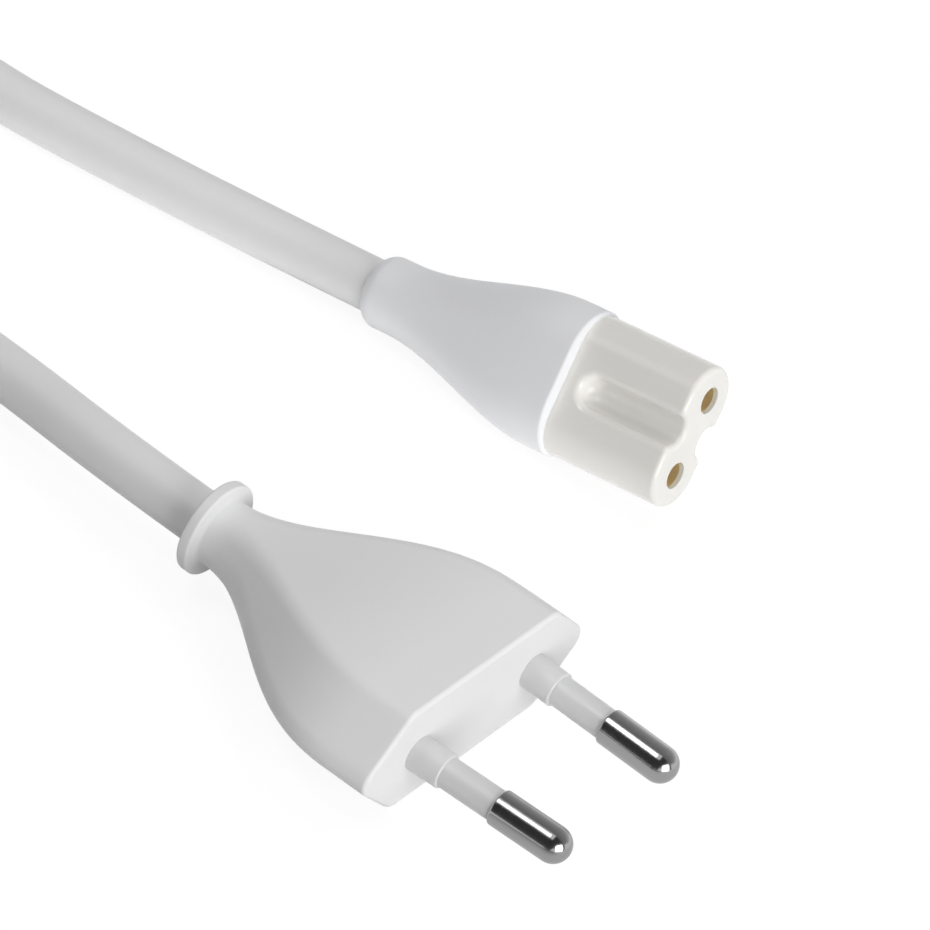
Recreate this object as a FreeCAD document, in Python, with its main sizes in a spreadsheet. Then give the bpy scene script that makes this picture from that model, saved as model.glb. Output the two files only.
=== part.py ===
import FreeCAD, Part
import math
import os

import Sketcher
from FreeCAD import Placement, Rotation, Vector

# A flat two-pin mains plug with its moulded body, the lead that leaves it, and the
# figure-eight connector on the lead's far end. The plug lies on its wide face, pins along +X.
# Millimetres. The origin is on the surface under the middle of the plug.

SIZES = [
    # plug body
    ("plug_width", 35.3, "width across the side ridges"),
    ("plug_thickness", 13.0, "thickness between the wide faces"),
    ("plug_flat", 21.6, "straight width of the wide faces"),
    ("plug_corner_radius", 2.4, "rounding beside the wide faces"),
    ("plug_side_radius", 2.0, "rounding of the side ridges"),
    ("plug_front_length", 5.0, "straight front of the body"),
    ("plug_length", 35.2, "face to the back of the collar"),
    ("plug_edge_radius", 0.5, "rounding of the face's edge"),
    ("neck_diameter", 7.4, "neck ahead of the collar"),
    ("neck_length", 0.6, "round neck ahead of the collar"),
    ("collar_diameter", 10.6, "collar where the cord leaves"),
    ("collar_thickness", 1.4, "collar along the cord"),
    ("collar_edge_radius", 0.3, "rounding of the collar's rim"),
    ("collar_root_radius", 0.4, "hollow rounding between neck and collar"),
    # pins and their sleeves
    ("pin_length", 19.0, "face to pin tip"),
    ("pin_diameter", 4.0, "bare metal of the pin"),
    ("pin_shoulder_radius", 0.3, "rounding of the bare metal beside the sleeve"),
    ("pin_spacing_face", 18.6, "between the pins at the face"),
    ("pin_spacing_tip", 17.5, "between the pins at their tips"),
    ("stem_diameter", 2.6, "thin stem of the pin under its sleeve"),
    ("sleeve_length", 10.1, "face to the end of the sleeve"),
    ("sleeve_diameter", 3.4, "sleeve of the pin"),
    ("sleeve_root_diameter", 3.9, "thick root of the sleeve"),
    ("sleeve_root_length", 3.75, "face to the step of the sleeve"),
    ("sleeve_rim_radius", 0.18, "rounding of the sleeve's step"),
    ("bridge_depth", 3.0, "face to the front of the pin bridge"),
    ("bridge_thickness", 5.0, "pin bridge along the pins"),
    ("bridge_boss_diameter", 7.2, "boss round each pin"),
    ("bridge_web_height", 4.0, "web between the bosses"),
    ("flange_diameter", 4.6, "pin flange behind the bridge"),
    ("flange_thickness", 1.0, "pin flange along the pin"),
    # crimps and wires
    ("crimp_diameter", 3.0, "crimp barrel"),
    ("crimp_length", 4.5, "crimp barrel along the wire"),
    ("crimp_wall", 0.7, "closed end of the barrel"),
    ("conductor_diameter", 1.25, "twisted copper"),
    ("bare_length", 0.8, "bare copper between barrel and core"),
    ("core_diameter", 2.3, "insulated core"),
    ("core_spacing", 2.5, "between the cores inside the sheath"),
    ("core_bend_radius", 2.4, "bends of the cores"),
    ("core_lead", 2.2, "straight core beside its barrel"),
    ("core_tail", 1.8, "straight core beside the sheath"),
    ("cord_diameter", 6.0, "round sheathed cord"),
    ("plug_core_room", 12.7, "cores between the crimps and the sheath in the plug"),
    ("cord_lead", 10.3, "straight cord behind the collar"),
    ("connector_core_room", 6.6, "cores between the crimps and the sheath in the connector"),
    # connector
    ("nose_length", 14.4, "insert ahead of the boot"),
    ("nose_width", 16.0, "width of the insert"),
    ("nose_thickness", 8.0, "thickness of the insert"),
    ("nose_edge_radius", 0.6, "rounding of the insert's face"),
    ("contact_spacing", 8.6, "between the contacts"),
    ("entry_diameter", 3.0, "holes in the insert's face"),
    ("entry_depth", 0.5, "face to the contact"),
    ("groove_depth", 2.1, "grooves along the wide sides"),
    ("groove_radius", 1.7, "round bottom of the grooves"),
    ("groove_start", 2.0, "boot to the closed end of a groove"),
    ("groove_rim_radius", 0.8, "rounded rims of the grooves"),
    ("root_length", 7.0, "insert inside the boot"),
    ("root_width", 14.0, "width of the insert inside the boot"),
    ("root_thickness", 6.2, "thickness of the insert inside the boot"),
    ("contact_diameter", 3.4, "contact tube"),
    ("contact_mouth", 2.9, "wide mouth of the contact tube"),
    ("contact_mouth_depth", 2.0, "depth of that mouth"),
    ("contact_bore", 2.44, "bore of the contact tube"),
    ("contact_bore_depth", 9.5, "depth of that bore behind the mouth"),
    ("lip_overhang_wide", 0.3, "boot's lip outside the insert at its ends"),
    ("lip_overhang_thick", 1.4, "boot's lip outside the insert at its wide sides"),
    ("lip_edge_radius", 0.4, "rounding of the lip"),
    ("boot_front_length", 3.0, "straight front of the boot"),
    ("boot_length", 27.5, "lip to the back of the boot"),
    ("boot_tail_diameter", 8.2, "round tail of the boot"),
    ("boot_tail_length", 3.5, "straight tail of the boot"),
    ("boot_tail_radius", 1.8, "rounding of the tail's end"),
    # where the connector lies
    ("connector_x", -14.8, "lip of the connector along X"),
    ("connector_y", 46.4, "lip of the connector along Y"),
    ("connector_heading", 0.2, "degrees from +X towards +Y"),
    ("connector_roll", 53.5, "degrees about its own axis"),
    ("connector_lift", 0.03, "room under the boot's lower edge"),
    # tied hank of the spare cord
    ("hank_x", -134.0, "centre of the hank's near end"),
    ("hank_y", 19.0, "middle of the hank"),
    ("hank_run", 66.0, "straight sides of the hank"),
    ("hank_turn_radius", 23.5, "middle of the bundle round each end"),
    ("hank_bundle_radius", 8.4, "bundle of the turns"),
    ("strand_offset", 3.0, "outer strand from the bundle's middle, sideways"),
    ("strand_height", 3.0, "outer strand above the surface"),
    ("hank_overlap", 8.0, "tails ahead of the hank's straight sides"),
    ("tie_width", 7.0, "tie along the bundle"),
    ("tie_thickness", 0.9, "tie's strap"),
]

LOFT_STEPS = 8
REST_SAMPLES = 60
# Two lengths this close are the same, and a swept volume may be this share off
CLOSE = 1e-3
VOLUME_SHARE = 0.005
# The plug's sides hold their width near the face and draw in later
SHOULDER_LAG = 1.22
# The plug's outline where it has become nearly round, as shares of the neck's radius
ROUND_FLAT = 0.1
ROUND_CORNER = 0.8
ROUND_SIDE = 0.9
# Where the sides of each outline end on the circle that it turns into, in degrees
HEXAGON_ENDS = (27, 37, 84)
STADIUM_END = 80
RUN_SHARE = 0.45

doc = FreeCAD.newDocument("mains_lead")
sheet = doc.addObject("Spreadsheet::Sheet", "dims")
for row, (alias, number, meaning) in enumerate(SIZES, start=1):
    sheet.set(f"A{row}", meaning)
    sheet.set(f"B{row}", str(number))
    sheet.setAlias(f"B{row}", alias)
doc.recompute()


class Length:
    """A size that carries its number and its formula on the sheet."""

    def __init__(self, number, formula):
        self.number = number
        self.formula = formula

    def __add__(self, other):
        other = as_length(other)
        return Length(self.number + other.number, f"({self.formula} + {other.formula})")

    def __sub__(self, other):
        other = as_length(other)
        return Length(self.number - other.number, f"({self.formula} - {other.formula})")

    def __mul__(self, share):
        return Length(self.number * share, f"({self.formula} * {share:.6f})")

    def __truediv__(self, count):
        return Length(self.number / count, f"({self.formula} / {count})")

    def __neg__(self):
        return Length(-self.number, f"(-{self.formula})")


def as_length(value):
    if isinstance(value, Length):
        return value
    return Length(float(value), f"{value}")


class Sizes:
    """The sheet's cells as Length values, by alias."""

    def __getattr__(self, alias):
        return Length(float(sheet.get(alias)), f"dims.{alias}")


d = Sizes()
ZERO = as_length(0)


# Sketches and features

def new_body(name):
    body = doc.addObject("PartDesign::Body", name)
    body.Label = name
    return body


def new_sketch(body, name, role, depth=None):
    """A sketch on one of the body's own planes, set back along -normal by depth."""
    sketch = body.newObject("Sketcher::SketchObject", f"{body.Name}_{name}")
    sketch.AttachmentSupport = [(next(o for o in body.Origin.OriginFeatures if o.Role == role), "")]
    sketch.MapMode = "FlatFace"
    if depth is not None:
        sketch.AttachmentOffset = Placement(Vector(0, 0, -depth.number), Rotation())
        sketch.setExpression("AttachmentOffset.Base.z", f"-{depth.formula}")
    return sketch


def fix(sketch, name, constraint, length):
    """Add a dimension and bind it to the sheet."""
    index = sketch.addConstraint(constraint)
    sketch.renameConstraint(index, name)
    sketch.setExpression(f"Constraints.{name}", length.formula)


def fix_point(sketch, name, edge, end, x, y):
    fix(sketch, f"{name}_x", Sketcher.Constraint("DistanceX", -1, 1, edge, end, x.number), x)
    fix(sketch, f"{name}_y", Sketcher.Constraint("DistanceY", -1, 1, edge, end, y.number), y)


def draw_profile(sketch, corners, dome=None):
    """Close the corners with lines; dome names a line that is a quarter arc about the X axis instead."""
    count = len(corners)
    for i, (x, y) in enumerate(corners):
        next_x, next_y = corners[(i + 1) % count]
        start = Vector(x.number, y.number, 0)
        end = Vector(next_x.number, next_y.number, 0)
        if i == dome:
            centre = Vector(start.x, 0, 0)
            circle = Part.Circle(centre, Vector(0, 0, 1), start.y)
            sketch.addGeometry(Part.ArcOfCircle(circle, 0, math.pi / 2))
        else:
            sketch.addGeometry(Part.LineSegment(start, end))
    for i, (x, y) in enumerate(corners):
        start_end = 2 if i == dome else 1
        finish_end = 1 if i == dome else 2
        following = (i + 1) % count
        next_start = 2 if following == dome else 1
        sketch.addConstraint(Sketcher.Constraint("Coincident", i, finish_end, following, next_start))
        fix_point(sketch, f"corner_{i}", i, start_end, x, y)
    if dome is not None:
        sketch.addConstraint(Sketcher.Constraint("PointOnObject", dome, 3, -1))


def revolve(body, corners, dome=None):
    """Turn a profile, given as distances along and from the X axis, about that axis."""
    sketch = new_sketch(body, "profile", "XY_Plane")
    draw_profile(sketch, corners, dome)
    turned = body.newObject("PartDesign::Revolution", f"{body.Name}_turned")
    turned.Profile = sketch
    turned.ReferenceAxis = (sketch, ["H_Axis"])
    turned.Angle = 360
    return turned


def draw_stadium(sketch, half_straight, radius):
    """Two straights along Y and two round ends."""
    y, r = half_straight.number, radius.number
    half_turn = math.pi / 2
    sketch.addGeometry(Part.LineSegment(Vector(y, r, 0), Vector(-y, r, 0)))
    left = Part.Circle(Vector(-y, 0, 0), Vector(0, 0, 1), r)
    sketch.addGeometry(Part.ArcOfCircle(left, half_turn, 3 * half_turn))
    sketch.addGeometry(Part.LineSegment(Vector(-y, -r, 0), Vector(y, -r, 0)))
    right = Part.Circle(Vector(y, 0, 0), Vector(0, 0, 1), r)
    sketch.addGeometry(Part.ArcOfCircle(right, -half_turn, half_turn))
    for i in range(4):
        sketch.addConstraint(Sketcher.Constraint("Tangent", i, 2, (i + 1) % 4, 1))
    sketch.addConstraint(Sketcher.Constraint("PointOnObject", 3, 3, -1))
    sketch.addConstraint(Sketcher.Constraint("Symmetric", 3, 3, 1, 3, -1, 1))
    fix(sketch, "half_straight", Sketcher.Constraint("DistanceX", -1, 1, 3, 3, y), half_straight)
    fix(sketch, "radius", Sketcher.Constraint("Radius", 3, r), radius)


def draw_split_circle(sketch, radius, cuts):
    """A circle about the origin as arcs between the given angles, in degrees, counted left from +Y."""
    circle = Part.Circle(Vector(0, 0, 0), Vector(0, 0, 1), radius.number)
    count = len(cuts)
    for i, start in enumerate(cuts):
        end = cuts[(i + 1) % count]
        if end <= start:
            end += 360
        sketch.addGeometry(Part.ArcOfCircle(circle, math.radians(start), math.radians(end)))
    last = count - 1
    for i in range(count):
        sketch.addConstraint(Sketcher.Constraint("Coincident", i, 2, (i + 1) % count, 1))
    for i in range(last):
        sketch.addConstraint(Sketcher.Constraint("Coincident", i, 3, -1, 1))
    sketch.addConstraint(Sketcher.Constraint("Equal", 0, last))
    fix(sketch, "radius", Sketcher.Constraint("Radius", 0, radius.number), radius)


def four_fold(angles):
    """The angles of one quarter, mirrored into the other three, in order round the circle."""
    mirrored = [180 - angle for angle in reversed(angles)]
    opposite = [180 + angle for angle in angles]
    return list(angles) + mirrored + opposite + [360 - angle for angle in reversed(angles)]


def slant_angle(flat_half, half_height, half_width, corner_radius, side_radius):
    """Direction square to the slanted side that touches a corner rounding and a side rounding."""
    run = (half_width - side_radius) - flat_half
    rise = half_height - corner_radius
    reach = math.hypot(run, rise)
    return math.acos((corner_radius - side_radius) / reach) - math.atan2(rise, run)


def draw_rounded_hexagon(sketch, flat_half, half_height, half_width, corner_radius, side_radius):
    """Six straight sides and six roundings: flats above and below, a ridge at each side."""
    f, h, w = flat_half.number, half_height.number, half_width.number
    rc, rs = corner_radius.number, side_radius.number
    slant = slant_angle(f, h, w, rc, rs)
    up = math.pi / 2
    # roundings in order round the outline, counted left from the right ridge
    roundings = [
        (w - rs, 0, rs, -slant, slant),
        (f, h - rc, rc, slant, up),
        (-f, h - rc, rc, up, math.pi - slant),
        (rs - w, 0, rs, math.pi - slant, math.pi + slant),
        (-f, rc - h, rc, math.pi + slant, 3 * up),
        (f, rc - h, rc, 3 * up, 4 * up - slant),
    ]
    count = 2 * len(roundings)
    for i, (y, z, radius, start, end) in enumerate(roundings):
        circle = Part.Circle(Vector(y, z, 0), Vector(0, 0, 1), radius)
        sketch.addGeometry(Part.ArcOfCircle(circle, start, end))
        y2, z2, radius2, start2, _ = roundings[(i + 1) % len(roundings)]
        here = Vector(y + radius * math.cos(end), z + radius * math.sin(end), 0)
        there = Vector(y2 + radius2 * math.cos(start2), z2 + radius2 * math.sin(start2), 0)
        sketch.addGeometry(Part.LineSegment(here, there))
    for i in range(count):
        sketch.addConstraint(Sketcher.Constraint("Tangent", i, 2, (i + 1) % count, 1))
    right, top_right, top_left, left, low_left, low_right = range(0, count, 2)
    for corner in (top_left, low_left, low_right):
        sketch.addConstraint(Sketcher.Constraint("Equal", top_right, corner))
    sketch.addConstraint(Sketcher.Constraint("Equal", right, left))
    sketch.addConstraint(Sketcher.Constraint("Symmetric", top_right, 3, top_left, 3, -2))
    sketch.addConstraint(Sketcher.Constraint("Symmetric", top_right, 3, low_right, 3, -1))
    sketch.addConstraint(Sketcher.Constraint("Symmetric", top_right, 3, low_left, 3, -1, 1))
    sketch.addConstraint(Sketcher.Constraint("PointOnObject", right, 3, -1))
    sketch.addConstraint(Sketcher.Constraint("Symmetric", right, 3, left, 3, -1, 1))
    fix(sketch, "corner_radius", Sketcher.Constraint("Radius", top_right, rc), corner_radius)
    fix(sketch, "side_radius", Sketcher.Constraint("Radius", right, rs), side_radius)
    fix(sketch, "flat_half", Sketcher.Constraint("DistanceX", -1, 1, top_right, 3, f), flat_half)
    rise = half_height - corner_radius
    fix(sketch, "rise", Sketcher.Constraint("DistanceY", -1, 1, top_right, 3, rise.number), rise)
    reach = half_width - side_radius
    fix(sketch, "reach", Sketcher.Constraint("DistanceX", -1, 1, right, 3, reach.number), reach)


def smooth(share):
    """Ease from 0 to 1, level at both ends."""
    return share * share * (3 - 2 * share)


def between(first, last, share):
    return first * (1 - share) + last * share


def pad(body, name, sketch, length, backwards=False):
    feature = body.newObject("PartDesign::Pad", f"{body.Name}_{name}")
    feature.Profile = sketch
    feature.Reversed = backwards
    feature.setExpression("Length", length.formula)
    return feature


def loft(body, name, sketches):
    feature = body.newObject("PartDesign::AdditiveLoft", f"{body.Name}_{name}")
    feature.Profile = sketches[0]
    feature.Sections = sketches[1:]
    return feature


def edges_at(shape, test):
    """Names of the edges whose every sampled point passes the test."""
    names = []
    for number, edge in enumerate(shape.Edges, start=1):
        if not edge.Degenerated and all(test(point) for point in edge.discretize(5)):
            names.append(f"Edge{number}")
    return names


def round_edges(body, name, base, test, radius):
    """Fillet the edges of a feature that pass the test, in the body's own frame."""
    doc.recompute()
    fillet = body.newObject("PartDesign::Fillet", f"{body.Name}_{name}")
    fillet.Base = (base, edges_at(base.Shape, test))
    fillet.setExpression("Radius", radius.formula)
    return fillet


def near(value, length):
    return abs(value - length.number) < CLOSE


def cut(name, base, tools):
    """Take the tools' shapes out of the base, one after another."""
    for step, tool in enumerate(tools):
        result = doc.addObject("Part::Cut", f"{name}_{step}")
        result.Base = base
        result.Tool = tool
        base = result
    base.Label = name
    return base


def cylinder(name, radius, length, placement):
    """A cylinder along its own X axis."""
    shape = doc.addObject("Part::Cylinder", name)
    shape.Label = name
    shape.setExpression("Radius", radius.formula)
    shape.setExpression("Height", length.formula)
    shape.Placement = placement.multiply(Placement(Vector(0, 0, 0), Rotation(Vector(0, 1, 0), 90)))
    return shape


def moved(x=0.0, y=0.0, z=0.0):
    return Placement(Vector(x, y, z), Rotation())


# Cords and wires

def rounded_path(points, arc_radius=None):
    """Straight runs joined by tangent arcs, and the radii of those arcs.

    Without a stated radius each arc is as large as its two runs allow."""
    edges, radii = [], []
    here = points[0]
    for before, corner, after in zip(points, points[1:], points[2:]):
        arriving = (corner - before).normalize()
        leaving = (after - corner).normalize()
        turn = arriving.getAngle(leaving)
        shorter = min((corner - before).Length, (after - corner).Length)
        radius = arc_radius or RUN_SHARE * shorter / math.tan(turn / 2)
        setback = radius * math.tan(turn / 2)
        start = corner - arriving * setback
        end = corner + leaving * setback
        inward = (leaving - arriving).normalize()
        depth = radius / math.cos(turn / 2) - radius
        edges.append(Part.LineSegment(here, start).toShape())
        edges.append(Part.Arc(start, corner + inward * depth, end).toShape())
        radii.append(radius)
        here = end
    edges.append(Part.LineSegment(here, points[-1]).toShape())
    return Part.Wire(edges), radii


def swept(name, path, radius):
    """A round solid along a path."""
    first = path.Edges[0]
    start = first.valueAt(first.FirstParameter)
    along = first.tangentAt(first.FirstParameter)
    section = Part.Wire(Part.Circle(start, along, radius).toShape())
    solid = doc.addObject("Part::Feature", name)
    solid.Label = name
    solid.Shape = path.makePipeShell([section], True, True)
    expected = math.pi * radius * radius * path.Length
    if abs(solid.Shape.Volume - expected) > VOLUME_SHARE * expected:
        raise ValueError(f"{name}: volume {solid.Shape.Volume:.1f}, expected {expected:.1f}")
    return solid


def cord(name, points):
    path, radii = rounded_path(points)
    print(name, "radii in diameters:", [round(r / d.cord_diameter.number, 1) for r in radii])
    print(name, "length:", round(path.Length, 1))
    return swept(name, path, d.cord_diameter.number / 2)


# Plug

FACE_X = ((d.plug_length - d.pin_length) / 2).number
AXIS_Z = (d.plug_thickness / 2).number
PLUG = moved(FACE_X, 0, AXIS_Z)
PIN_SHIFT = ((d.pin_spacing_face - d.pin_spacing_tip) / 2).number
PIN_TOE = math.degrees(math.atan2(PIN_SHIFT, d.pin_length.number))


def pin_placement(side):
    """Frame of one pin: its own X axis runs out of the face, toed in towards the other pin."""
    at_face = moved(0, side * d.pin_spacing_face.number / 2, 0)
    toe = Placement(Vector(0, 0, 0), Rotation(Vector(0, 0, 1), -side * PIN_TOE))
    return PLUG.multiply(at_face).multiply(toe)


def plug_outer():
    """The moulded body before its inside is taken out: straight front, shoulders, neck and collar."""
    body = new_body("plug_outer")
    neck_radius = d.neck_diameter / 2
    collar_front = d.plug_length - d.collar_thickness
    neck_front = collar_front - d.neck_length
    front = new_sketch(body, "front", "YZ_Plane")
    face_sizes = (d.plug_flat / 2, d.plug_thickness / 2, d.plug_width / 2,
                  d.plug_corner_radius, d.plug_side_radius)
    draw_rounded_hexagon(front, *face_sizes)
    block = pad(body, "block", front, d.plug_front_length, backwards=True)
    neck_sizes = (neck_radius * ROUND_FLAT, neck_radius, neck_radius,
                  neck_radius * ROUND_CORNER, neck_radius * ROUND_SIDE)
    sections = []
    for step in range(LOFT_STEPS):
        share = step / LOFT_STEPS
        depth = between(d.plug_front_length, neck_front, share)
        section = new_sketch(body, f"shoulder_{step}", "YZ_Plane", depth)
        ease = smooth(share ** SHOULDER_LAG)
        draw_rounded_hexagon(section, *(between(a, b, ease) for a, b in zip(face_sizes, neck_sizes)))
        sections.append(section)
    neck = new_sketch(body, "neck", "YZ_Plane", neck_front)
    draw_split_circle(neck, neck_radius, four_fold(HEXAGON_ENDS))
    shoulders = loft(body, "shoulders", sections + [neck])
    collar_radius = d.collar_diameter / 2
    collar = new_sketch(body, "collar_profile", "XY_Plane")
    draw_profile(collar, [
        (-neck_front, ZERO),
        (-neck_front, neck_radius),
        (-collar_front, neck_radius),
        (-collar_front, collar_radius),
        (-d.plug_length, collar_radius),
        (-d.plug_length, ZERO),
    ])
    turned = body.newObject("PartDesign::Revolution", "plug_collar")
    turned.Profile = collar
    turned.ReferenceAxis = (collar, ["H_Axis"])
    turned.Angle = 360
    doc.recompute()

    def on_rim(p):
        return near(math.hypot(p.y, p.z), collar_radius)

    def on_root(p):
        return near(p.x, -collar_front) and near(math.hypot(p.y, p.z), neck_radius)

    rim = round_edges(body, "rim", turned, on_rim, d.collar_edge_radius)
    root = round_edges(body, "root", rim, on_root, d.collar_root_radius)
    round_edges(body, "face_edge", root, lambda p: near(p.x, ZERO), d.plug_edge_radius)
    body.Placement = PLUG
    return body


def pin(name, side):
    """One turned pin: crimp barrel, flange, thin stem, and bare end with a domed tip."""
    body = new_body(name)
    stem, tip, flange = d.stem_diameter / 2, d.pin_diameter / 2, d.flange_diameter / 2
    flange_front = d.bridge_depth + d.bridge_thickness
    flange_back = flange_front + d.flange_thickness
    barrel_back = flange_back + d.crimp_length
    barrel, bore = d.crimp_diameter / 2, d.conductor_diameter / 2
    turned = revolve(body, [
        (-(flange_back + d.crimp_wall), ZERO),
        (-(flange_back + d.crimp_wall), bore),
        (-barrel_back, bore),
        (-barrel_back, barrel),
        (-flange_back, barrel),
        (-flange_back, flange),
        (-flange_front, flange),
        (-flange_front, stem),
        (d.sleeve_length, stem),
        (d.sleeve_length, tip),
        (d.pin_length - tip, tip),
        (d.pin_length, ZERO),
    ], dome=10)

    def on_shoulder(p):
        return near(p.x, d.sleeve_length) and near(math.hypot(p.y, p.z), tip)

    round_edges(body, "shoulder", turned, on_shoulder, d.pin_shoulder_radius)
    body.Placement = pin_placement(side)
    return body


def sleeve(name, side):
    """The moulded sleeve on a pin's stem, with its thicker root at the face."""
    body = new_body(name)
    stem, outer, root = d.stem_diameter / 2, d.sleeve_diameter / 2, d.sleeve_root_diameter / 2
    turned = revolve(body, [
        (-d.bridge_depth, stem),
        (-d.bridge_depth, root),
        (d.sleeve_root_length, root),
        (d.sleeve_root_length, outer),
        (d.sleeve_length, outer),
        (d.sleeve_length, stem),
    ])

    def on_step(p):
        return near(p.x, d.sleeve_root_length) and near(math.hypot(p.y, p.z), root)

    round_edges(body, "rim", turned, on_step, d.sleeve_rim_radius)
    body.Placement = pin_placement(side)
    return body


def bridge_block():
    """The carrier that holds both pins: a boss round each, and a web between them."""
    body = new_body("bridge_block")
    bosses = new_sketch(body, "bosses", "YZ_Plane", d.bridge_depth)
    half_spacing = d.pin_spacing_face / 2
    boss = d.bridge_boss_diameter / 2
    for i, side in enumerate((-1, 1)):
        place = Vector(side * half_spacing.number, 0, 0)
        bosses.addGeometry(Part.Circle(place, Vector(0, 0, 1), boss.number))
        fix_point(bosses, f"boss_{i}", i, 3, half_spacing * side, ZERO)
        fix(bosses, f"boss_{i}_radius", Sketcher.Constraint("Radius", i, boss.number), boss)
    pad(body, "boss_pad", bosses, d.bridge_thickness, backwards=True)
    web = new_sketch(body, "web", "YZ_Plane", d.bridge_depth)
    half_web = d.bridge_web_height / 2
    draw_profile(web, [
        (-half_spacing, -half_web),
        (half_spacing, -half_web),
        (half_spacing, half_web),
        (-half_spacing, half_web),
    ])
    pad(body, "web_pad", web, d.bridge_thickness, backwards=True)
    body.Placement = PLUG
    return body


def conductor(name, placement, barrel_bottom, barrel_back):
    """Bare copper from the bottom of a crimp barrel to the end of its core."""
    length = barrel_back - barrel_bottom + d.bare_length
    end = placement.multiply(moved(-(barrel_back + d.bare_length).number, 0, 0))
    return cylinder(name, d.conductor_diameter / 2, length, end)


def core(name, start, along, end, back):
    """An insulated core that leaves its crimp, swings in towards the other and meets the sheath."""
    bend_out = start + along * d.core_lead.number
    bend_in = end - back * d.core_tail.number
    path, _ = rounded_path([start, bend_out, bend_in, end], d.core_bend_radius.number)
    return swept(name, path, d.core_diameter.number / 2)


def core_between(name, crimp_frame, core_end, sheath_frame, sheath_end, side):
    """A core from its crimp's frame to the sheath's end in the frame of the plug or connector."""
    start = crimp_frame.multVec(Vector(-core_end, 0, 0))
    along = crimp_frame.Rotation.multVec(Vector(-1, 0, 0))
    end = sheath_frame.multVec(Vector(-sheath_end, side * d.core_spacing.number / 2, 0))
    back = sheath_frame.Rotation.multVec(Vector(-1, 0, 0))
    return core(name, start, along, end, back)


# Connector

def boot_section(share):
    """Half straight and end radius of the boot, from its straight front to its tail."""
    ease = smooth(share)
    lip_radius = d.nose_thickness / 2 + d.lip_overhang_thick
    half_straight = d.nose_width / 2 + d.lip_overhang_wide - lip_radius
    tail_radius = d.boot_tail_diameter / 2
    return between(half_straight, ZERO, ease), between(lip_radius, tail_radius, ease)


def boot_depth(share):
    return between(d.boot_front_length, d.boot_length - d.boot_tail_length, share)


def connector_placement():
    """The connector lies on the lower edge of its boot and on the boot's tail, rolled part way over."""
    roll = math.radians(d.connector_roll.number)
    tail_depth = (d.boot_length - d.boot_tail_radius).number
    tail_radius = d.boot_tail_diameter.number / 2
    reaches = []
    for step in range(REST_SAMPLES):
        share = step / REST_SAMPLES
        half_straight, radius = boot_section(share)
        reaches.append((boot_depth(share).number, radius.number + half_straight.number * math.sin(roll)))
    pitch = max(math.atan2(reach - tail_radius, tail_depth - depth) for depth, reach in reaches)
    height = max(depth * math.sin(pitch) + reach * math.cos(pitch) for depth, reach in reaches)
    heading = Rotation(Vector(0, 0, 1), d.connector_heading.number)
    nose_up = Rotation(Vector(0, 1, 0), -math.degrees(pitch))
    rolled = Rotation(Vector(1, 0, 0), d.connector_roll.number)
    place = Vector(d.connector_x.number, d.connector_y.number, height + d.connector_lift.number)
    return Placement(place, heading.multiply(nose_up).multiply(rolled))


CONNECTOR = connector_placement()


def boot_outer():
    """The connector's boot before its inside is taken out: straight lip, waist and round tail."""
    body = new_body("boot_outer")
    front = new_sketch(body, "front", "YZ_Plane")
    draw_stadium(front, *boot_section(0))
    pad(body, "block", front, d.boot_front_length, backwards=True)
    sections = []
    for step in range(LOFT_STEPS):
        share = step / LOFT_STEPS
        section = new_sketch(body, f"waist_{step}", "YZ_Plane", boot_depth(share))
        draw_stadium(section, *boot_section(share))
        sections.append(section)
    tail_radius = d.boot_tail_diameter / 2
    tail_start = boot_depth(1)
    round_end = new_sketch(body, "round_end", "YZ_Plane", tail_start)
    draw_split_circle(round_end, tail_radius, four_fold([STADIUM_END]))
    loft(body, "waist", sections + [round_end])
    tail = revolve(body, [
        (-tail_start, ZERO),
        (-tail_start, tail_radius),
        (-d.boot_length, tail_radius),
        (-d.boot_length, ZERO),
    ])

    def at_back(p):
        return near(p.x, -d.boot_length)

    rounded_tail = round_edges(body, "tail_edge", tail, at_back, d.boot_tail_radius)
    round_edges(body, "lip_edge", rounded_tail, lambda p: near(p.x, ZERO), d.lip_edge_radius)
    body.Placement = CONNECTOR
    return body


def contact_place(side):
    return CONNECTOR.multiply(moved(0, side * d.contact_spacing.number / 2, 0))


def contact(name, side):
    """One socket contact: a tube open at the nose, with a crimp barrel behind the insert."""
    body = new_body(name)
    outer, bore, mouth = d.contact_diameter / 2, d.contact_bore / 2, d.contact_mouth / 2
    front = d.nose_length - d.entry_depth
    bore_front = front - d.contact_mouth_depth
    barrel_back = d.root_length + d.crimp_length
    barrel, copper = d.crimp_diameter / 2, d.conductor_diameter / 2
    revolve(body, [
        (bore_front - d.contact_bore_depth, ZERO),
        (bore_front - d.contact_bore_depth, bore),
        (bore_front, bore),
        (bore_front, mouth),
        (front, mouth),
        (front, outer),
        (-d.root_length, outer),
        (-d.root_length, barrel),
        (-barrel_back, barrel),
        (-barrel_back, copper),
        (-(d.root_length + d.crimp_wall), copper),
        (-(d.root_length + d.crimp_wall), ZERO),
    ])
    body.Placement = contact_place(side)
    return body


def bore_pair(body, name, depth, radius, length, forwards=False):
    """Two round bores at the contacts' places, cut back from a plane at depth, or forwards from it."""
    bores = new_sketch(body, f"{name}_circles", "YZ_Plane", depth)
    half_spacing = d.contact_spacing / 2
    for i, side in enumerate((-1, 1)):
        place = Vector(side * half_spacing.number, 0, 0)
        bores.addGeometry(Part.Circle(place, Vector(0, 0, 1), radius.number))
        fix_point(bores, f"bore_{i}", i, 3, half_spacing * side, ZERO)
        fix(bores, f"bore_{i}_radius", Sketcher.Constraint("Radius", i, radius.number), radius)
    pocket = body.newObject("PartDesign::Pocket", f"{body.Name}_{name}")
    pocket.Profile = bores
    pocket.Reversed = forwards
    pocket.setExpression("Length", length.formula)
    return pocket


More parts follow.
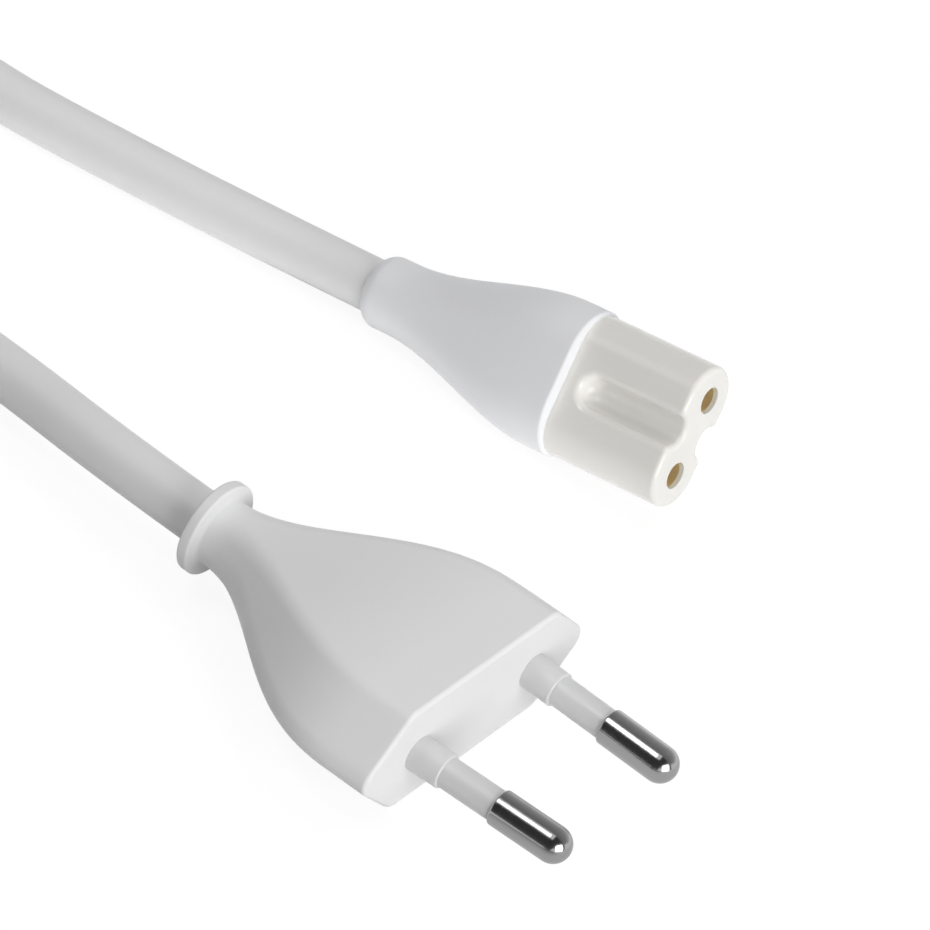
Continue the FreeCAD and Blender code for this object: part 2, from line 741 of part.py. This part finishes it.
def insert_block():
    """The insert before its grooves: the nose, its root inside the boot, and the contacts' chambers."""
    body = new_body("insert_block")
    nose = new_sketch(body, "nose", "YZ_Plane")
    draw_stadium(nose, (d.nose_width - d.nose_thickness) / 2, d.nose_thickness / 2)
    pad(body, "nose_pad", nose, d.nose_length)
    root = new_sketch(body, "root", "YZ_Plane")
    draw_stadium(root, (d.root_width - d.root_thickness) / 2, d.root_thickness / 2)
    pad(body, "root_pad", root, d.root_length, backwards=True)
    bore_pair(body, "entry", -d.nose_length, d.entry_diameter / 2, d.entry_depth)
    chamber_length = d.root_length + d.nose_length - d.entry_depth
    bore_pair(body, "chamber", d.root_length, d.contact_diameter / 2, chamber_length, forwards=True)
    body.Placement = CONNECTOR
    return body


def groove_tool(name, side):
    """A round-ended bar that cuts one groove along a wide side of the nose."""
    centre_z = d.nose_thickness / 2 - d.groove_depth + d.groove_radius
    start = d.groove_start + d.groove_radius
    place = CONNECTOR.multiply(moved(start.number, 0, side * centre_z.number))
    bar = cylinder(f"{name}_bar", d.groove_radius, d.nose_length, place)
    ball = doc.addObject("Part::Sphere", f"{name}_ball")
    ball.setExpression("Radius", d.groove_radius.formula)
    ball.Placement = place
    tool = doc.addObject("Part::Fuse", name)
    tool.Base = bar
    tool.Tool = ball
    return tool


def round_insert(grooved):
    """Round the rims of the grooves and the edge of the nose's face."""
    doc.recompute()
    to_local = CONNECTOR.inverse()
    half_thickness = d.nose_thickness / 2
    half_straight = (d.nose_width - d.nose_thickness) / 2

    def on_rim(point):
        p = to_local.multVec(point)
        inside = p.x > d.groove_start.number - CLOSE and abs(p.y) < d.groove_radius.number + CLOSE
        return inside and near(abs(p.z), half_thickness) and abs(p.y) < half_straight.number

    def on_face_edge(point):
        p = to_local.multVec(point)
        from_contact = math.hypot(abs(p.y) - d.contact_spacing.number / 2, p.z)
        return near(p.x, d.nose_length) and not near(from_contact, d.entry_diameter / 2)

    def fillet(name, base, test, radius):
        doc.recompute()
        rounded = doc.addObject("Part::Fillet", name)
        rounded.Label = name
        rounded.Base = base
        numbers = [int(edge[len("Edge"):]) for edge in edges_at(base.Shape, test)]
        rounded.Edges = [(number, radius.number, radius.number) for number in numbers]
        return rounded

    rims = fillet("insert_rims", grooved, on_rim, d.groove_rim_radius)
    return fillet("connector_insert", rims, on_face_edge, d.nose_edge_radius)


# Hank

def hank_path():
    """Middle of the bundle: two straight sides and two half turns."""
    x_near, x_far = d.hank_x.number, d.hank_x.number - d.hank_run.number
    radius, y, z = d.hank_turn_radius.number, d.hank_y.number, d.hank_bundle_radius.number
    low, high = y - radius, y + radius
    return Part.Wire([
        Part.LineSegment(Vector(x_near, low, z), Vector(x_far, low, z)).toShape(),
        Part.Arc(Vector(x_far, low, z), Vector(x_far - radius, y, z), Vector(x_far, high, z)).toShape(),
        Part.LineSegment(Vector(x_far, high, z), Vector(x_near, high, z)).toShape(),
        Part.Arc(Vector(x_near, high, z), Vector(x_near + radius, y, z), Vector(x_near, low, z)).toShape(),
    ])


def tie_ring():
    """A strap round the middle of the hank's far side, sunk into the bundle by its own thickness."""
    place = moved(d.hank_x.number - (d.hank_run.number + d.tie_width.number) / 2,
                  d.hank_y.number - d.hank_turn_radius.number, d.hank_bundle_radius.number)
    outer = cylinder("tie_outer", d.hank_bundle_radius, d.tie_width, place)
    inner = cylinder("tie_inner", d.hank_bundle_radius - d.tie_thickness, d.tie_width, place)
    return cut("hank_tie", outer, [inner])


def tail_end(side):
    """Where the cord's tail runs into the outer low side of the hank."""
    x = d.hank_x.number + d.hank_overlap.number
    sideways = d.hank_turn_radius.number + d.strand_offset.number
    return Vector(x, d.hank_y.number + side * sideways, d.strand_height.number)


# Assembly

plug_block = plug_outer()
wires = {"brown": 1, "blue": -1}
pin_names = {"brown": "pin_live", "blue": "pin_neutral"}
contact_names = {"brown": "contact_live", "blue": "contact_neutral"}
sleeve_names = {"brown": "sleeve_live", "blue": "sleeve_neutral"}

flange_end = d.bridge_depth + d.bridge_thickness + d.flange_thickness
pins, sleeves, plug_wires, contacts, connector_wires = [], [], [], [], []
for colour, side in wires.items():
    pins.append(pin(pin_names[colour], side))
    sleeves.append(sleeve(sleeve_names[colour], side))
    barrel_end = flange_end + d.crimp_length
    frame = pin_placement(side)
    plug_wires.append(conductor(f"plug_conductor_{colour}", frame, flange_end + d.crimp_wall, barrel_end))
    core_start = (barrel_end + d.bare_length).number
    plug_sheath = core_start + d.plug_core_room.number
    plug_wires.append(core_between(f"plug_core_{colour}", frame, core_start, PLUG, plug_sheath, side))

for colour, side in wires.items():
    contacts.append(contact(contact_names[colour], side))
    frame = contact_place(side)
    barrel_end = d.root_length + d.crimp_length
    connector_wires.append(
        conductor(f"connector_conductor_{colour}", frame, d.root_length + d.crimp_wall, barrel_end))
    core_start = (barrel_end + d.bare_length).number
    connector_sheath = core_start + d.connector_core_room.number
    connector_wires.append(
        core_between(f"connector_core_{colour}", frame, core_start, CONNECTOR, connector_sheath, side))

# The plug's cord sinks from the collar to the surface and bears round to the hank
plug_back = FACE_X - d.plug_length.number
plug_cord = cord("cord_plug_side", [
    Vector(FACE_X - plug_sheath, 0, AXIS_Z),
    Vector(plug_back - d.cord_lead.number, 0, AXIS_Z),
    Vector(-60.0, 3.6, 4.2),
    Vector(-84.0, 4.4, 3.0),
    Vector(-105.0, -3.6, 3.0),
    tail_end(-1),
])

# The connector's cord leaves the boot's tail, comes down to the surface and runs along it
cord_radius = d.cord_diameter.number / 2
tail_exit = CONNECTOR.multVec(Vector(-d.boot_length.number, 0, 0))
tail_way = CONNECTOR.Rotation.multVec(Vector(-1, 0, 0))
touch_down = tail_exit + tail_way * ((cord_radius - tail_exit.z) / tail_way.z)
connector_cord = cord("cord_connector_side", [
    CONNECTOR.multVec(Vector(-connector_sheath, 0, 0)),
    touch_down,
    Vector(-70.0, 41.7, 3.0),
    Vector(-96.0, 37.9, 3.0),
    Vector(-112.0, 43.2, 3.2),
    tail_end(1),
])

bridge = cut("pin_bridge", bridge_block(), pins + sleeves)
plug_body = cut("plug_body", plug_block, [plug_cord] + sleeves + plug_wires + pins + [bridge])

grooves = [groove_tool(f"groove_{i}", side) for i, side in enumerate((-1, 1))]
insert = round_insert(cut("insert_grooved", insert_block(), grooves))
boot = cut("connector_boot", boot_outer(), [connector_cord] + connector_wires + contacts + [insert])

tie = tie_ring()
bundle = swept("hank_bundle", hank_path(), d.hank_bundle_radius.number)
hank = cut("cord_hank", bundle, [tie, plug_cord, connector_cord])

doc.recompute()

subparts = [plug_body, bridge] + pins + sleeves + plug_wires
subparts += [plug_cord, hank, connector_cord, tie]
subparts += [boot, insert] + contacts + connector_wires

failed = [o.Name for o in doc.Objects if "Invalid" in o.State or "Error" in o.State]
if failed:
    raise RuntimeError(f"failed objects: {failed}")
for part in subparts:
    shape = part.Shape
    if shape.isNull() or not shape.isValid() or len(shape.Solids) != 1:
        raise RuntimeError(f"{part.Label}: not one valid solid ({len(shape.Solids)} solids)")

os.makedirs("parts", exist_ok=True)
for part in subparts:
    part.Shape.exportStep(f"parts/{part.Label}.step")
print(len(subparts), "parts written")
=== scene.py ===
import math

import bpy
from mathutils import Matrix, Vector


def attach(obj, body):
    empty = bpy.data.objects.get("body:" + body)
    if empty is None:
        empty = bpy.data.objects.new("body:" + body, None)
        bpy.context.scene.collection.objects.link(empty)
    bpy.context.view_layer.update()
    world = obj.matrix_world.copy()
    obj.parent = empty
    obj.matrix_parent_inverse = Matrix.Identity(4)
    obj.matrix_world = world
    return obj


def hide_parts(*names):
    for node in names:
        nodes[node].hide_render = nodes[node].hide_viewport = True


# A flat two-pin mains plug, its cord and the figure-eight connector on the cord's far end.
# Metres, in the frame of the solids: pins along +X, +Z up, floor at z = 0.

MM = 0.001
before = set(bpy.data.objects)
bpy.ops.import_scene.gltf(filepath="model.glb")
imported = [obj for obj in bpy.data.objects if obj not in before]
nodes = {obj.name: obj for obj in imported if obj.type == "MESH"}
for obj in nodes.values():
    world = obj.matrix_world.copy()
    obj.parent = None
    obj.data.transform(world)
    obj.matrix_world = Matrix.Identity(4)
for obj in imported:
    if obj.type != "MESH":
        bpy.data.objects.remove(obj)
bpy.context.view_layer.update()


def mm(x, y, z):
    """A point or vector given in millimetres."""
    return Vector((x, y, z)) * MM


# Camera, found by fitting the plug's outline and pins to the photo

CAMERA_PLACE = mm(253.61, -459.29, 471.64)
CAMERA_RIGHT = Vector((0.7653, 0.6123, 0.1985))
CAMERA_BACK = Vector((0.3714, -0.6719, 0.6408))
SENSOR = 36.0
FOCAL_IN_PIXELS = 7000
PHOTO_WIDTH = 930
NEAREST_SEEN = 0.05
FARTHEST_SEEN = 20


def add_camera():
    data = bpy.data.cameras.new("photo_camera")
    data.sensor_width = SENSOR
    data.lens = SENSOR * FOCAL_IN_PIXELS / PHOTO_WIDTH
    data.clip_start = NEAREST_SEEN
    data.clip_end = FARTHEST_SEEN
    camera = bpy.data.objects.new("photo_camera", data)
    bpy.context.scene.collection.objects.link(camera)
    back = CAMERA_BACK.normalized()
    right = (CAMERA_RIGHT - back * CAMERA_RIGHT.dot(back)).normalized()
    up = back.cross(right)
    turn = Matrix((right, up, back)).transposed().to_4x4()
    camera.matrix_world = Matrix.Translation(CAMERA_PLACE) @ turn
    bpy.context.scene.camera = camera


# Cord: its sizes and the points of its two free ends in millimetres

CORD_RADIUS = 3.0
PLUG_SIDE = [
    (-18.9, 0, 6.5),
    (-37.4, 0, 6.5),
    (-60.0, 3.6, 4.2),
    (-84.0, 4.4, 3.0),
    (-105.0, -3.6, 3.0),
    (-126.0, -7.5, 3.0),
]
CONNECTOR_SIDE = [
    (-126.0, 45.5, 3.0),
    (-112.0, 43.2, 3.2),
    (-96.0, 37.9, 3.0),
    (-70.0, 41.7, 3.0),
    (-46.2, 46.3, 3.0),
    (-33.4, 46.3, 5.2),
]
CURVE_ORDER = 3
STEPS_ALONG = 10
STEPS_ROUND = 8

# The hank, in millimetres and degrees: rounds of cord folded flat, with a strand of each in either side
HANK_NEAR_X = -134.0
HANK_FAR_X = -200.0
HANK_Y = 19.0
HANK_TURN_RADIUS = 23.5
HANK_HEIGHT = 7.15
HANK_ROUNDS = 5
STRAND_RADIUS = 5.1
FIRST_STRAND_ANGLE = -54
STRAND_STEP = -360 / HANK_ROUNDS
TURN_LIFT = 0.95
TURN_POINTS = 7
TIE_SHARE = 0.5
TIE_SQUEEZE = 0.84
TIE_HEIGHT = 8.4
RUN_SHARES = (0.0, 0.25, TIE_SHARE, 0.75, 1.0)


def strand_point(x, y, outward, angle, squeeze=1.0, height=HANK_HEIGHT):
    """One strand's place in the bundle about x, y; the angle runs from outward towards up."""
    reach = STRAND_RADIUS * squeeze
    sideways = reach * math.cos(math.radians(angle))
    rise = reach * math.sin(math.radians(angle))
    return (x + sideways * outward[0], y + sideways * outward[1], height + rise)


def hank_run(side, start_x, end_x, angle, tied):
    """A straight side of the hank; the tied one is drawn together in its middle."""
    points = []
    for share in RUN_SHARES:
        x = start_x + (end_x - start_x) * share
        y = HANK_Y + side * HANK_TURN_RADIUS
        if tied and share == TIE_SHARE:
            points.append(strand_point(x, y, (0, side), angle, TIE_SQUEEZE, TIE_HEIGHT))
        else:
            points.append(strand_point(x, y, (0, side), angle))
    return points


def hank_turn(centre_x, end, start_side, angle, twist):
    """A half turn at the hank's far (end -1) or near (end 1) end; the strand moves on by twist."""
    points = []
    for step in range(1, TURN_POINTS + 1):
        share = step / (TURN_POINTS + 1)
        swing = math.pi * share
        outward = (end * math.sin(swing), start_side * math.cos(swing))
        x = centre_x + HANK_TURN_RADIUS * outward[0]
        y = HANK_Y + HANK_TURN_RADIUS * outward[1]
        height = HANK_HEIGHT + (TURN_LIFT * math.sin(swing) if twist else 0)
        points.append(strand_point(x, y, outward, angle + twist * share, height=height))
    return points


def hank_points():
    """In at the low-Y side and out at the high-Y side; each far turn moves the strand on one place."""
    points = []
    angle = FIRST_STRAND_ANGLE
    for round_number in range(HANK_ROUNDS):
        points += hank_run(-1, HANK_NEAR_X, HANK_FAR_X, angle, tied=True)
        points += hank_turn(HANK_FAR_X, -1, -1, angle, STRAND_STEP)
        angle += STRAND_STEP
        points += hank_run(1, HANK_FAR_X, HANK_NEAR_X, angle, tied=False)
        if round_number < HANK_ROUNDS - 1:
            points += hank_turn(HANK_NEAR_X, 1, 1, angle, 0)
    return points


def add_cord():
    """The whole cord as one curve; the radius of its points sets its thickness."""
    data = bpy.data.curves.new("cord", "CURVE")
    data.dimensions = "3D"
    data.bevel_depth = 1.0
    data.bevel_resolution = STEPS_ROUND
    data.resolution_u = STEPS_ALONG
    data.use_fill_caps = True
    route = PLUG_SIDE + hank_points() + CONNECTOR_SIDE
    spline = data.splines.new("NURBS")
    spline.points.add(len(route) - 1)
    for point, place in zip(spline.points, route):
        point.co = (*mm(*place), 1.0)
        point.radius = CORD_RADIUS * MM
    spline.order_u = CURVE_ORDER
    spline.use_endpoint_u = True
    cord = bpy.data.objects.new("cord", data)
    bpy.context.scene.collection.objects.link(cord)
    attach(cord, "root")
    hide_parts("cord_plug_side", "cord_hank", "cord_connector_side")
    return cord


# Materials: scales in features per metre, depths and reliefs in millimetres

NOISE_LOW = 0.3
NOISE_HIGH = 0.7
CLOUD_SCALE = 90
GLOSS_SCALE = 240
PLASTIC_IOR = 1.5
SOFT_RADIUS = (1.0, 0.9, 0.8)
SOFT_DEPTH = 0.8
MARK_SCALE = 60
TARNISH_SCALE = 300
WIRE_SCALE = 700
WIRE_WAVER = 0.4
WIRE_TWIST = math.radians(62)
WIRE_RELIEF = 0.06
WIRE_ROUGHNESS = 0.32


def grey(level):
    return (level, level, level)


def new_material(name):
    material = bpy.data.materials.new(name)
    material.use_nodes = True
    tree = material.node_tree
    shader = tree.nodes["Principled BSDF"]
    return material, tree, shader


def add_node(tree, kind, **values):
    """A node with its input sockets set by name."""
    node = tree.nodes.new(kind)
    for socket, value in values.items():
        node.inputs[socket.replace("_", " ")].default_value = value
    return node


def noise(tree, coordinates, scale, detail=2.0, stretch=None):
    """A noise pattern with about scale features per metre."""
    texture = add_node(tree, "ShaderNodeTexNoise", Scale=scale, Detail=detail)
    if stretch is None:
        tree.links.new(coordinates.outputs["Object"], texture.inputs["Vector"])
    else:
        mapping = add_node(tree, "ShaderNodeMapping", Scale=stretch)
        tree.links.new(coordinates.outputs["Object"], mapping.inputs["Vector"])
        tree.links.new(mapping.outputs["Vector"], texture.inputs["Vector"])
    return texture


def spread(tree, source, low, high):
    """Map the middle of a noise pattern to the range from low to high."""
    mapped = add_node(tree, "ShaderNodeMapRange",
                      From_Min=NOISE_LOW, From_Max=NOISE_HIGH, To_Min=low, To_Max=high)
    tree.links.new(source.outputs["Fac"], mapped.inputs["Value"])
    return mapped.outputs["Result"]


def two_tone(tree, source, first, second):
    """A colour that runs from first to second with the pattern."""
    mix = tree.nodes.new("ShaderNodeMix")
    mix.data_type = "RGBA"
    mix.inputs["A"].default_value = (*first, 1)
    mix.inputs["B"].default_value = (*second, 1)
    tree.links.new(source.outputs["Fac"], mix.inputs["Factor"])
    return mix.outputs["Result"]


def bump(tree, source, shader, height):
    """Relief of the given height in millimetres."""
    relief = add_node(tree, "ShaderNodeBump", Strength=1.0, Distance=height * MM)
    tree.links.new(source.outputs["Fac"], relief.inputs["Height"])
    tree.links.new(relief.outputs["Normal"], shader.inputs["Normal"])


def moulded(name, first, second, gloss, grain=1800, relief=0.004, soft=0.0):
    """Moulded plastic: a cloudy pair of near colours, uneven gloss and a fine grain in the surface."""
    material, tree, shader = new_material(name)
    coordinates = tree.nodes.new("ShaderNodeTexCoord")
    cloud = noise(tree, coordinates, CLOUD_SCALE, detail=3)
    tree.links.new(two_tone(tree, cloud, first, second), shader.inputs["Base Color"])
    patches = noise(tree, coordinates, GLOSS_SCALE)
    tree.links.new(spread(tree, patches, *gloss), shader.inputs["Roughness"])
    bump(tree, noise(tree, coordinates, grain, detail=4), shader, relief)
    shader.inputs["IOR"].default_value = PLASTIC_IOR
    if soft:
        shader.inputs["Subsurface Weight"].default_value = soft
        shader.inputs["Subsurface Radius"].default_value = SOFT_RADIUS
        shader.inputs["Subsurface Scale"].default_value = SOFT_DEPTH * MM
    return material


def metal(name, first, second, gloss, stretch, relief, bare=1.0):
    """Turned or drawn metal: fine marks stretched one way; bare is the share free of tarnish."""
    material, tree, shader = new_material(name)
    coordinates = tree.nodes.new("ShaderNodeTexCoord")
    marks = noise(tree, coordinates, MARK_SCALE, detail=3, stretch=stretch)
    tarnish = noise(tree, coordinates, TARNISH_SCALE)
    tree.links.new(two_tone(tree, tarnish, first, second), shader.inputs["Base Color"])
    tree.links.new(spread(tree, marks, *gloss), shader.inputs["Roughness"])
    bump(tree, marks, shader, relief)
    shader.inputs["Metallic"].default_value = bare
    return material


def strands(name, first, second):
    """A bundle of fine copper wires laid along X with a twist."""
    material, tree, shader = new_material(name)
    coordinates = tree.nodes.new("ShaderNodeTexCoord")
    mapping = add_node(tree, "ShaderNodeMapping", Rotation=(0, 0, WIRE_TWIST))
    tree.links.new(coordinates.outputs["Object"], mapping.inputs["Vector"])
    wires = add_node(tree, "ShaderNodeTexWave", Scale=WIRE_SCALE, Distortion=WIRE_WAVER)
    tree.links.new(mapping.outputs["Vector"], wires.inputs["Vector"])
    tree.links.new(two_tone(tree, wires, second, first), shader.inputs["Base Color"])
    bump(tree, wires, shader, WIRE_RELIEF)
    shader.inputs["Metallic"].default_value = 1.0
    shader.inputs["Roughness"].default_value = WIRE_ROUGHNESS
    return material


def add_materials(cord):
    white = moulded("white_pvc", grey(0.80), grey(0.77), gloss=(0.50, 0.60), soft=0.12)
    sleeve = moulded("sleeve_plastic", grey(0.69), grey(0.66), gloss=(0.34, 0.42), soft=0.25)
    boot = moulded("boot_pvc", (0.85, 0.855, 0.87), (0.83, 0.835, 0.85), gloss=(0.52, 0.62), soft=0.12)
    ivory = moulded("ivory_plastic", (0.85, 0.84, 0.805), (0.83, 0.815, 0.775), gloss=(0.08, 0.13),
                    grain=500, relief=0.002, soft=0.15)
    bridge = moulded("bridge_plastic", (0.74, 0.74, 0.70), (0.70, 0.70, 0.66), gloss=(0.4, 0.5))
    brown = moulded("brown_pvc", (0.16, 0.07, 0.03), (0.13, 0.055, 0.025), gloss=(0.35, 0.45))
    blue = moulded("blue_pvc", (0.04, 0.16, 0.50), (0.035, 0.14, 0.45), gloss=(0.35, 0.45))
    tie = moulded("tie_plastic", (0.03, 0.03, 0.032), (0.02, 0.02, 0.022), gloss=(0.45, 0.6),
                  grain=900, relief=0.05)
    nickel = metal("nickel", grey(0.43), grey(0.39), gloss=(0.14, 0.20),
                   stretch=(60, 1, 1), relief=0.0006)
    brass = metal("contact_brass", (0.86, 0.72, 0.42), (0.78, 0.64, 0.36), gloss=(0.45, 0.60),
                  stretch=(1, 20, 20), relief=0.003, bare=0.6)
    copper = strands("copper", (0.72, 0.36, 0.22), (0.42, 0.18, 0.10))
    finishes = {
        "plug_body": white, "pin_bridge": bridge, "hank_tie": tie,
        "connector_boot": boot, "connector_insert": ivory,
        "pin_live": nickel, "pin_neutral": nickel, "sleeve_live": sleeve, "sleeve_neutral": sleeve,
        "contact_live": brass, "contact_neutral": brass,
    }
    for end in ("plug", "connector"):
        finishes[f"{end}_core_brown"] = brown
        finishes[f"{end}_core_blue"] = blue
        finishes[f"{end}_conductor_brown"] = copper
        finishes[f"{end}_conductor_blue"] = copper
    for name, material in finishes.items():
        mesh = nodes[name].data
        mesh.materials.clear()
        mesh.materials.append(material)
    cord.data.materials.append(white)


# Stage: a pale floor, soft lamps, a bright card, and screens that only reflections show

# Light from all round
AMBIENT = 0.22
# The floor: its drop below the plug in millimetres, and the share of white glow where it is seen
FLOOR_SIZE = 3.0
FLOOR_DROP = 0.02
FLOOR_COLOUR = 0.6
FLOOR_SEEN_WHITE = 0.75
FLOOR_GLOW = 1.2
# Lamps: where each shines from, the level it gives a white surface that faces it, and its size
LAMP_DISTANCE = 0.7
LAMPS = {
    "front": (Vector((0.905, -0.35, 0.245)), 0.93, 0.5),
    "side": (Vector((0.10, 0.50, 0.86)), 0.36, 0.5),
    "top": (Vector((-0.371, -0.256, 0.892)), 0.14, 0.18),
}
# The card, between plug and connector: its lowest and highest x and y, and its height in millimetres
CARD_X = (-0.110, 0.002)
CARD_Y = (0.018, 0.042)
CARD_HEIGHT = 0.5
CARD_LEVEL = 0.5
# Screens: the axis that they stretch along, where they start and end on it, and at each bend
# the place on the other level axis, the height and the brightness
SCREENS = {
    "left_screen": ("X", -0.6, 0.35, [
        (-0.165, 0.30, 0.04),
        (-0.60, 0.15, 0.07),
        (-0.85, 0.001, 0.18),
    ]),
    "right_screen": ("X", -0.6, 0.6, [
        (0.0, 0.30, 0.18),
        (0.3, 0.25, 0.40),
        (0.8, 0.10, 0.95),
    ]),
    "floor_screen": ("X", 0.008, 0.35, [
        (-0.85, 0.001, 0.18),
        (-0.07, 0.001, 0.25),
        (-0.035, 0.001, 0.45),
        (-0.016, 0.001, 0.75),
        (0.06, 0.001, 0.90),
    ]),
    "front_screen": ("Y", -0.9, 0.2, [
        (1.0, 0.001, 0.06),
        (0.8, 0.42, 0.05),
        (0.05, 0.42, 0.04),
    ]),
}
BRIGHTNESS_LAYER = "level"


def seen_rays(tree):
    """1 for rays that show the background: from the camera, mirrored, or through glass."""
    path = tree.nodes.new("ShaderNodeLightPath")
    seen = path.outputs["Is Camera Ray"]
    for kind in ("Is Glossy Ray", "Is Transmission Ray"):
        either = tree.nodes.new("ShaderNodeMath")
        either.operation = "MAXIMUM"
        tree.links.new(seen, either.inputs[0])
        tree.links.new(path.outputs[kind], either.inputs[1])
        seen = either.outputs[0]
    return seen


def add_world():
    """White where it is seen, and a weaker light from all round elsewhere."""
    world = bpy.data.worlds.new("studio")
    world.use_nodes = True
    tree = world.node_tree
    background = tree.nodes["Background"]
    background.inputs["Color"].default_value = (1, 1, 1, 1)
    level = add_node(tree, "ShaderNodeMapRange", To_Min=AMBIENT, To_Max=1.0)
    tree.links.new(seen_rays(tree), level.inputs["Value"])
    tree.links.new(level.outputs["Result"], background.inputs["Strength"])
    bpy.context.scene.world = world


def add_mesh(name, corners, faces, material):
    """A flat or bent sheet of the stage."""
    mesh = bpy.data.meshes.new(name)
    mesh.from_pydata(corners, [], faces)
    mesh.materials.append(material)
    sheet = bpy.data.objects.new(name, mesh)
    bpy.context.scene.collection.objects.link(sheet)
    return sheet


def add_floor():
    """A matt floor that keeps the shadow and is mixed with white where it is seen."""
    material, tree, shader = new_material("floor")
    shader.inputs["Base Color"].default_value = (*grey(FLOOR_COLOUR), 1)
    shader.inputs["Roughness"].default_value = 1.0
    shader.inputs["Specular IOR Level"].default_value = 0.0
    glow = add_node(tree, "ShaderNodeEmission", Strength=FLOOR_GLOW)
    mix = tree.nodes.new("ShaderNodeMixShader")
    share = add_node(tree, "ShaderNodeMapRange", To_Min=0.0, To_Max=FLOOR_SEEN_WHITE)
    tree.links.new(seen_rays(tree), share.inputs["Value"])
    tree.links.new(share.outputs["Result"], mix.inputs[0])
    tree.links.new(shader.outputs[0], mix.inputs[1])
    tree.links.new(glow.outputs[0], mix.inputs[2])
    tree.links.new(mix.outputs[0], tree.nodes["Material Output"].inputs["Surface"])
    half = FLOOR_SIZE / 2
    z = -FLOOR_DROP * MM
    corners = [(-half, -half, z), (half, -half, z), (half, half, z), (-half, half, z)]
    add_mesh("floor", corners, [(0, 1, 2, 3)], material)


def screen_material():
    """Glows by the brightness kept at the screen's corners."""
    material, tree, shader = new_material("screen")
    shader.inputs["Base Color"].default_value = (0, 0, 0, 1)
    shader.inputs["Specular IOR Level"].default_value = 0.0
    shader.inputs["Emission Strength"].default_value = 1.0
    level = tree.nodes.new("ShaderNodeVertexColor")
    level.layer_name = BRIGHTNESS_LAYER
    tree.links.new(level.outputs["Color"], shader.inputs["Emission Color"])
    return material


def add_screens():
    """Bent screens that only reflections show."""
    material = screen_material()
    for name, (axis, start, end, bends) in SCREENS.items():
        corners = [(along, across, z) for across, z, _ in bends for along in (start, end)]
        if axis == "Y":
            corners = [(across, along, z) for along, across, z in corners]
        faces = [(2 * i, 2 * i + 1, 2 * i + 3, 2 * i + 2) for i in range(len(bends) - 1)]
        screen = add_mesh(name, corners, faces, material)
        glow = screen.data.color_attributes.new(BRIGHTNESS_LAYER, "FLOAT_COLOR", "POINT")
        for i, (_, _, level) in enumerate(bends):
            for corner in (2 * i, 2 * i + 1):
                glow.data[corner].color = (*grey(level), 1)
        screen.visible_camera = False
        screen.visible_diffuse = False
        screen.visible_shadow = False


def add_lamp(name, direction, level, size):
    """A soft box that lights a white surface facing it to the given level."""
    data = bpy.data.lights.new(name, "AREA")
    data.shape = "SQUARE"
    data.size = size
    data.energy = level * (math.pi * LAMP_DISTANCE) ** 2
    lamp = bpy.data.objects.new(name, data)
    lamp.location = direction.normalized() * LAMP_DISTANCE
    lamp.rotation_euler = direction.to_track_quat("Z", "Y").to_euler()
    bpy.context.scene.collection.objects.link(lamp)


def add_card():
    """It lights the sides that plug and connector turn to each other, and shows nowhere itself."""
    data = bpy.data.lights.new("card", "AREA")
    data.shape = "RECTANGLE"
    data.size = CARD_X[1] - CARD_X[0]
    data.size_y = CARD_Y[1] - CARD_Y[0]
    data.energy = CARD_LEVEL * math.pi * data.size * data.size_y
    card = bpy.data.objects.new("card", data)
    card.location = (sum(CARD_X) / 2, sum(CARD_Y) / 2, CARD_HEIGHT * MM)
    card.rotation_euler = (math.pi, 0, 0)
    card.visible_camera = False
    card.visible_glossy = False
    bpy.context.scene.collection.objects.link(card)


def add_stage():
    add_world()
    add_floor()
    for name, (direction, level, size) in LAMPS.items():
        add_lamp(name, direction, level, size)
    add_card()
    add_screens()
    bpy.context.scene.view_settings.view_transform = "Standard"


add_camera()
cord = add_cord()
add_materials(cord)
add_stage()
